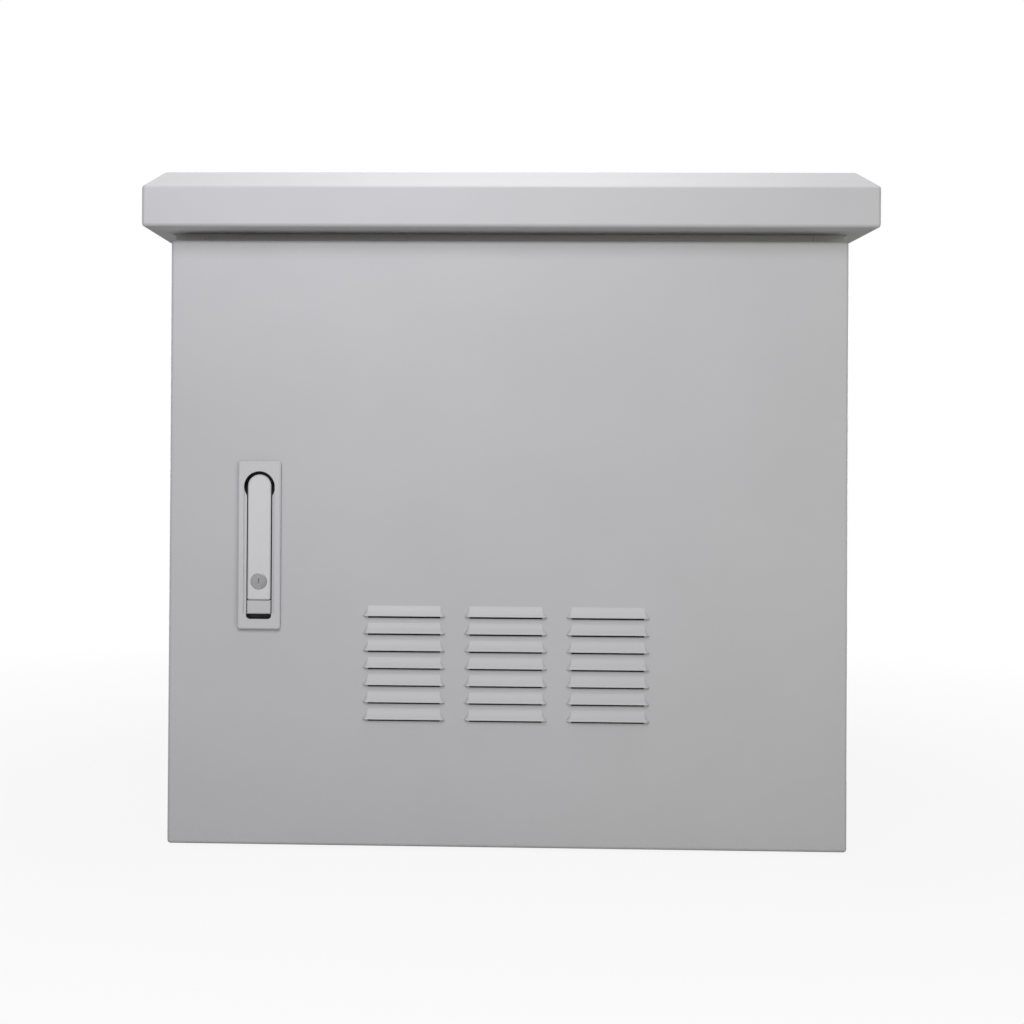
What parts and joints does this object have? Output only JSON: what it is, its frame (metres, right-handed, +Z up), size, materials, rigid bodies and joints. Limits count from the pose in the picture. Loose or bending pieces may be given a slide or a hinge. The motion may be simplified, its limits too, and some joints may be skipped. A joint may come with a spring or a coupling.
{
  "type": "roadside utility cabinet",
  "caption": "Sheet-steel outdoor equipment cabinet with a bevelled rain hood, a full-overlay louvred door on concealed hinges and a swing-handle lock.",
  "frame": {"origin": "bottom centre of the cabinet's overall box, on the floor", "axes": "+Z up, the door faces -Y, +X to the right when facing the door"},
  "size_m": [0.64, 0.478, 0.598],
  "materials": {
    "powder_coat": "light grey semi-matt powder coat with a fine texture",
    "zinc_steel": "zinc-plated steel, satin",
    "handle_cast": "die-cast zinc, light grey powder coat",
    "button_plastic": "light grey moulded polyamide, fine texture",
    "pin_steel": "black-oxidised steel",
    "lock_plug": "nickel-plated turned brass, satin",
    "seal_foam": "black foamed polyurethane seal",
    "grommet_rubber": "black moulded rubber",
    "filter_fleece": "charcoal needled filter fleece",
    "lock_metal": "plain brass"
  },
  "bodies": {
    "cabinet": {"body_wrap": "powder_coat", "top_panel": "powder_coat", "base_panel": "powder_coat", "front_frame": "powder_coat", "rain_hood": "powder_coat", "hood_studs": "zinc_steel", "hood_spacers": "zinc_steel", "hood_nuts": "zinc_steel", "gland_plate": "zinc_steel", "gland_plate_screws": "zinc_steel", "cable_grommets": "grommet_rubber", "rack_rail_left": "zinc_steel", "rack_rail_right": "zinc_steel", "rail_bracket_left_lower": "zinc_steel", "rail_bracket_left_upper": "zinc_steel", "rail_bracket_right_lower": "zinc_steel", "rail_bracket_right_upper": "zinc_steel", "rail_screws": "zinc_steel", "earth_stud": "lock_metal", "earth_nuts": "lock_metal", "earth_washer": "lock_metal", "hinge_leaf_body_lower": "zinc_steel", "hinge_leaf_body_upper": "zinc_steel", "hinge_pin_lower": "zinc_steel", "hinge_pin_upper": "zinc_steel", "hinge_screws": "zinc_steel"},
    "door": {"door_panel": "powder_coat", "door_gasket": "seal_foam", "door_stiffener_left": "powder_coat", "door_stiffener_right": "powder_coat", "filter_frame": "zinc_steel", "filter_mat": "filter_fleece", "filter_studs": "zinc_steel", "filter_nuts": "zinc_steel", "hinge_leaf_door_lower": "zinc_steel", "hinge_leaf_door_upper": "zinc_steel", "handle_plate": "handle_cast", "handle_seal": "grommet_rubber", "lock_bracket": "zinc_steel", "lock_screws": "zinc_steel", "lever_pin": "pin_steel"},
    "lever": {"lever": "handle_cast"},
    "lock_barrel": {"lock_barrel": "lock_plug"},
    "push_button": {"push_button": "button_plastic"},
    "latch": {"latch_spindle": "zinc_steel", "latch_cam": "zinc_steel", "cam_bolt": "zinc_steel"}
  },
  "joints": [
    {"name": "door_swing", "type": "hinge", "parent": "cabinet", "child": "door", "pos_m": [0.291, -0.195, 0.2715], "axis": [0, 0, 1], "range_deg": [0, 115]},
    {"name": "lever_tilt", "type": "hinge", "parent": "door", "child": "lever", "pos_m": [-0.219, -0.2035, 0.3255], "axis": [-1, 0, 0], "range_deg": [0, 35]},
    {"name": "barrel_turn", "type": "hinge", "parent": "lever", "child": "lock_barrel", "pos_m": [-0.219, -0.2035, 0.237], "axis": [0, 1, 0], "range_deg": [0, 90]},
    {"name": "button_press", "type": "slide", "parent": "door", "child": "push_button", "axis": [0, 1, 0], "range_m": [0, 0.003], "stiffness_N_per_m": 800},
    {"name": "latch_turn", "type": "hinge", "parent": "door", "child": "latch", "pos_m": [-0.219, -0.19, 0.32075], "axis": [0, 1, 0], "range_deg": [0, 90]}
  ]
}
